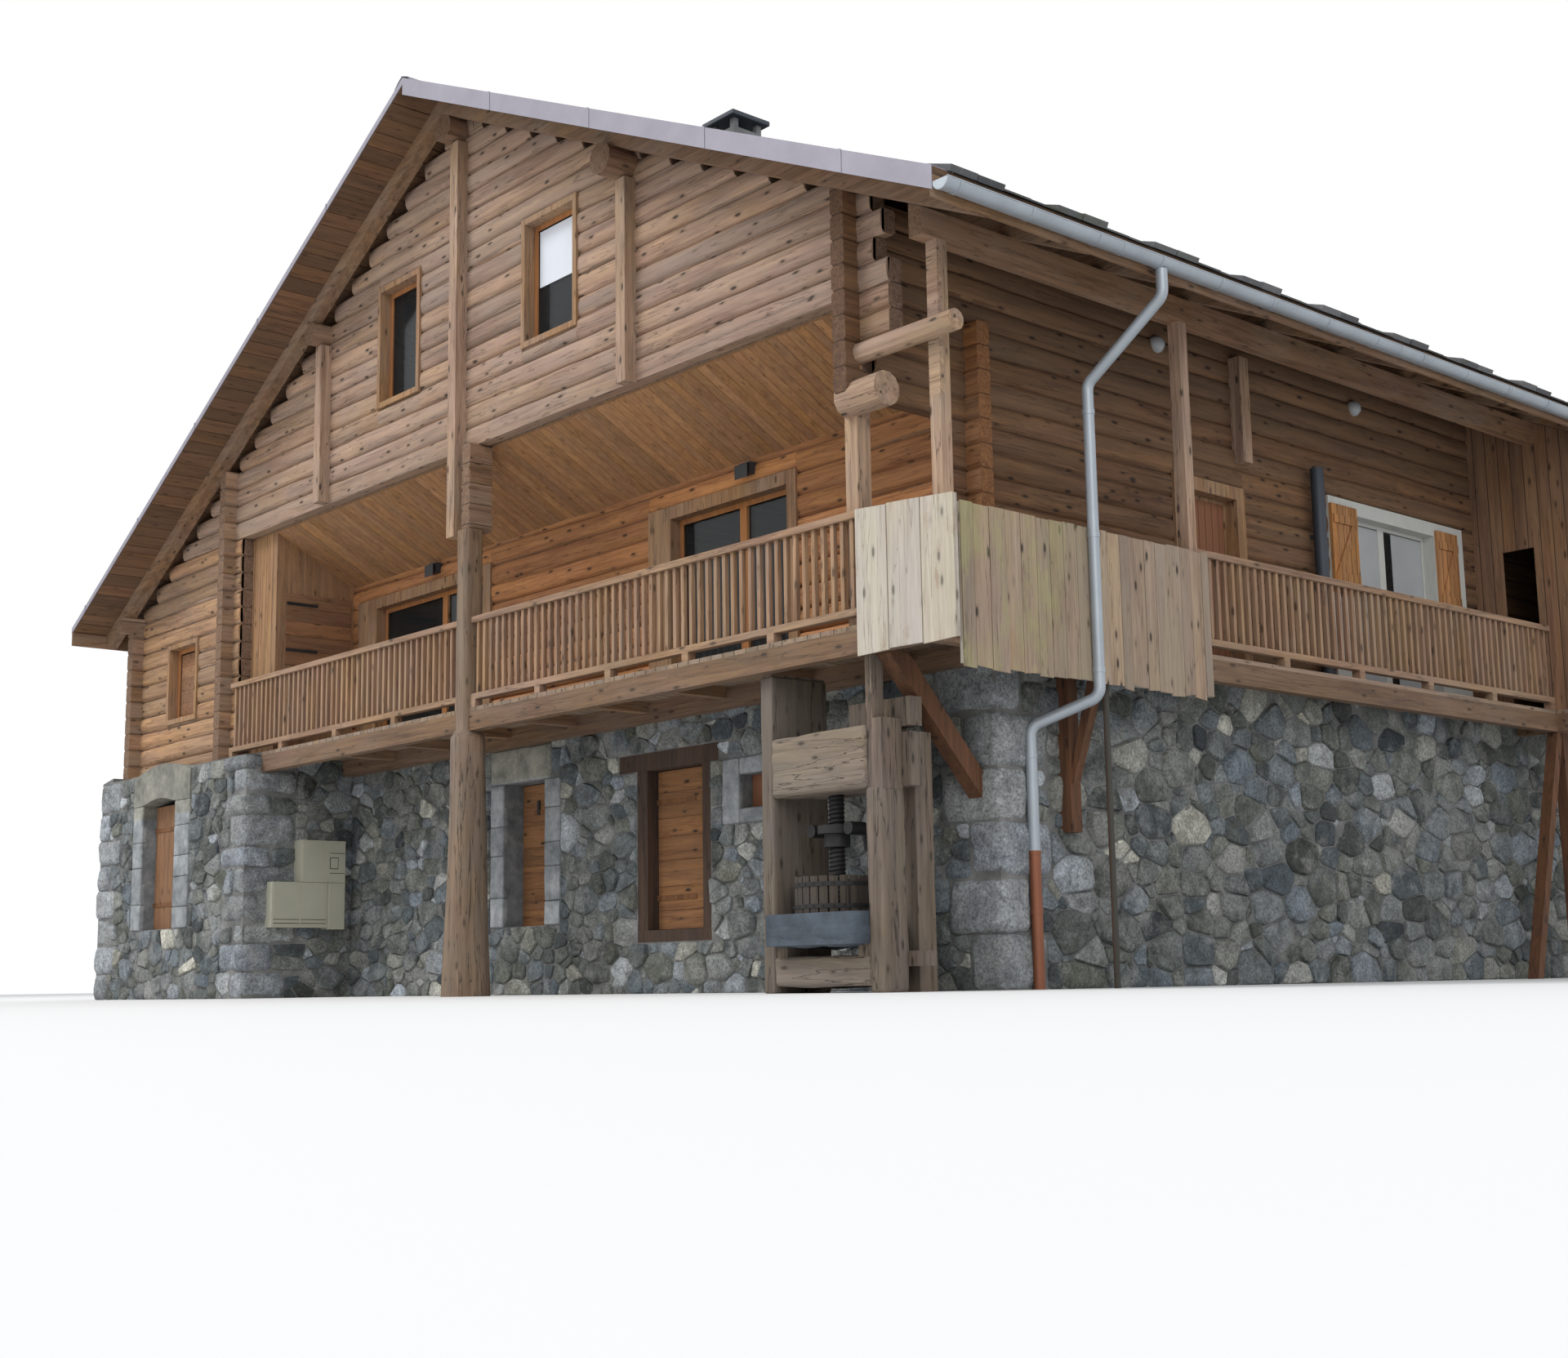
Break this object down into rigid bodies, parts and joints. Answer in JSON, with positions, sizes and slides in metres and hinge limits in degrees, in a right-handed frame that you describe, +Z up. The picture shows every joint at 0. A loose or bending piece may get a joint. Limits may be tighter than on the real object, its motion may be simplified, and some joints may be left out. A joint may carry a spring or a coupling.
{
  "type": "alpine chalet",
  "caption": "Log chalet on a stone cellar storey, with a jutting gable, a front balcony, a side gallery and an old fruit press.",
  "frame": {"origin": "middle of the plan's bounding box, at ground level", "axes": "+X along the gable front towards the gallery, +Y from the front gable to the back, +Z up"},
  "size_m": [16.86, 14.712, 10.1],
  "materials": {
    "stone": "rubble masonry",
    "dressed_stone": "cut stone",
    "door_wood": "oiled boards",
    "floor_wood": "planed boards",
    "log_wood": "weathered hewn logs",
    "warm_wood": "sheltered hewn logs",
    "roof_wood": "weathered timber",
    "roof_cover": "fibre cement shingles on boards",
    "sheet_metal": "coated sheet",
    "zinc": "weathered zinc",
    "mortar": "rendered",
    "beam_wood": "weathered timber",
    "rail_wood": "weathered timber",
    "board_wood": "bleached boards",
    "frame_wood": "stained timber",
    "glass": "clear",
    "painted_steel": "satin paint",
    "press_wood": "old hardwood",
    "iron": "old iron",
    "trough_stone": "cut stone"
  },
  "bodies": {
    "house": {"back_wall": "stone", "braces": "beam_wood", "cabin": "warm_wood", "ceiling": "warm_wood", "cellar_door_frame": "beam_wood", "chimney": "mortar", "closet": "warm_wood", "cross_logs": "warm_wood", "deck": "floor_wood", "downpipe": "zinc", "dressed_jambs": "dressed_stone", "dressed_lintels": "dressed_stone", "east_logs": "warm_wood", "eave_boards": "roof_wood", "edge_beams": "beam_wood", "fittings": "painted_steel", "floors": "floor_wood", "front_walls": "stone", "gable_logs": "log_wood", "gallery_boarding": "board_wood", "glazing": "glass", "gutter": "zinc", "joists": "beam_wood", "main_post": "beam_wood", "north_logs": "log_wood", "posts": "beam_wood", "press_basket": "press_wood", "press_frame": "press_wood", "press_screw": "iron", "press_trough": "trough_stone", "purlins": "roof_wood", "rafters": "roof_wood", "railings": "rail_wood", "recessed_logs": "warm_wood", "roof_left": "roof_cover", "roof_right": "roof_cover", "shutters": "frame_wood", "side_walls": "stone", "verge_flashing": "sheet_metal", "walls_at_doors": "stone", "west_logs": "log_wood", "window_frames": "frame_wood"},
    "bay_door": {"bay_door": "door_wood"},
    "cellar_door_a": {"cellar_door_a": "door_wood"},
    "cellar_door_b": {"cellar_door_b": "door_wood"}
  },
  "joints": [
    {"name": "bay_door_hinge", "type": "hinge", "parent": "house", "child": "bay_door", "pos_m": [-6.824, -6.736, 1.5], "axis": [0, 0, -1], "range_deg": [0, 90]},
    {"name": "cellar_door_a_hinge", "type": "hinge", "parent": "house", "child": "cellar_door_a", "pos_m": [0.374, -5.226, 1.5], "axis": [0, 0, 1], "range_deg": [0, 90]},
    {"name": "cellar_door_b_hinge", "type": "hinge", "parent": "house", "child": "cellar_door_b", "pos_m": [2.216, -5.326, 1.5], "axis": [0, 0, -1], "range_deg": [0, 90]}
  ]
}
